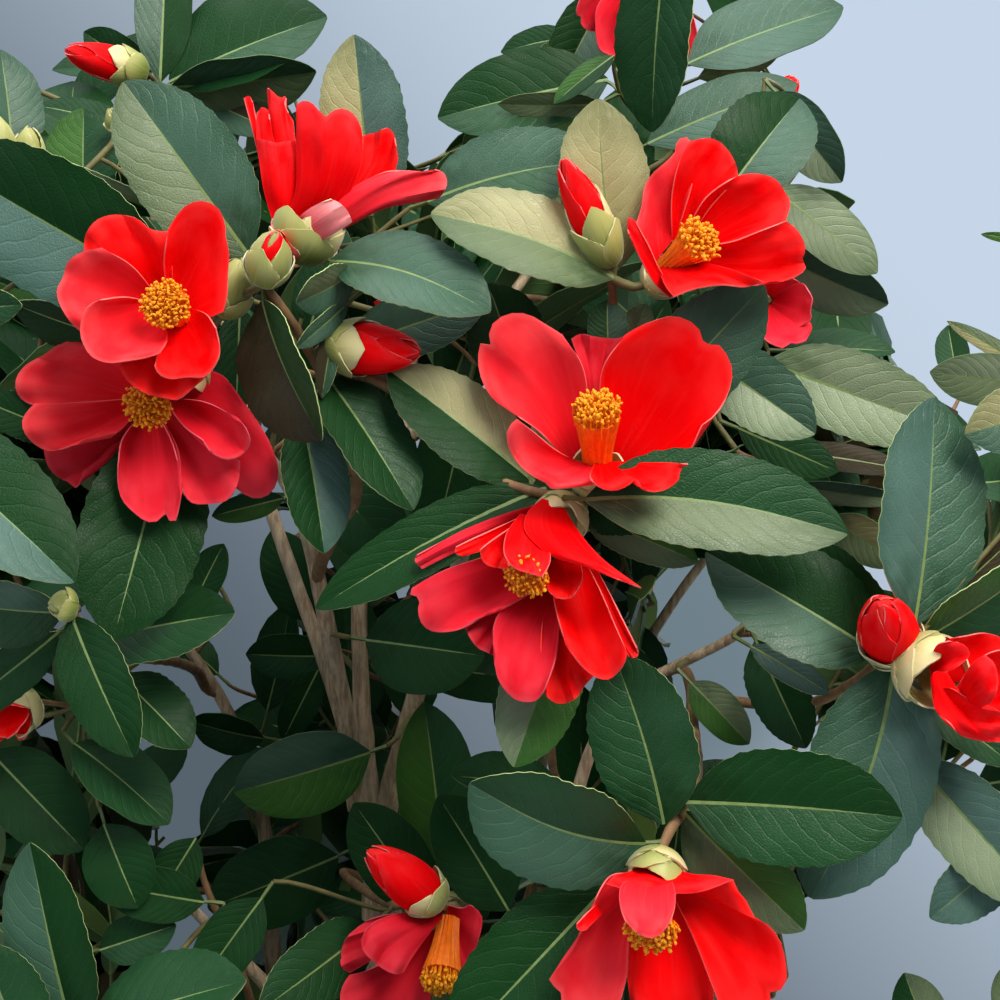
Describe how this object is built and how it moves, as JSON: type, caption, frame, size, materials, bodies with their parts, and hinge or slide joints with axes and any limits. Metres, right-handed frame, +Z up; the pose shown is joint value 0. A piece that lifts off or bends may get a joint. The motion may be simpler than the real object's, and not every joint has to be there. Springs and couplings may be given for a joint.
{
  "type": "camellia shrub",
  "caption": "Small camellia shrub rooted in the ground: short flared trunk, upright bare stems and side boughs, and a full rounded crown of separate glossy leaf masses with red single blooms.",
  "frame": {"origin": "centre of the flat cut under the trunk, at ground level", "axes": "+Z up along the trunk, +X to the right and -Y towards the side that the picture shows"},
  "size_m": [0.6125, 0.5663, 1.0447],
  "materials": {
    "bark": "matt smooth grey-brown bark with fine cracks and leaf scars",
    "foliage": "glossy leathery dark green leaves with paler midribs and paler matt undersides",
    "petal": "satin scarlet petals, paler and pinker at the rims",
    "stamen": "granular golden yellow anthers on orange filaments",
    "bud_scale": "silky yellow-green overlapping bud scales"
  },
  "bodies": {
    "root": {"trunk": "bark", "stem_left": "bark", "stem_centre": "bark", "stem_side_left": "bark", "stem_right": "bark", "stem_back_left": "bark", "stem_back_right": "bark", "bough_centre_front": "bark", "bough_left_front": "bark", "bough_low_right": "bark", "bough_low_left": "bark", "bough_side_right": "bark", "bough_top_back": "bark", "bough_waist_front": "bark", "bough_waist_left": "bark", "bough_waist_right": "bark", "bough_waist_back": "bark", "bough_skirt_left": "bark", "bough_skirt_right": "bark", "bough_skirt_back": "bark", "foliage_left_front": "foliage", "foliage_centre_front": "foliage", "foliage_right_front": "foliage", "foliage_low_right_front": "foliage", "foliage_low_left_front": "foliage", "foliage_top_left": "foliage", "foliage_top_right": "foliage", "foliage_top_back": "foliage", "foliage_side_left": "foliage", "foliage_side_right": "foliage", "foliage_back_left": "foliage", "foliage_back_right": "foliage", "foliage_waist_front": "foliage", "foliage_waist_left": "foliage", "foliage_waist_right": "foliage", "foliage_waist_back": "foliage", "foliage_skirt_left": "foliage", "foliage_skirt_right": "foliage", "foliage_skirt_back": "foliage"}
  },
  "joints": []
}
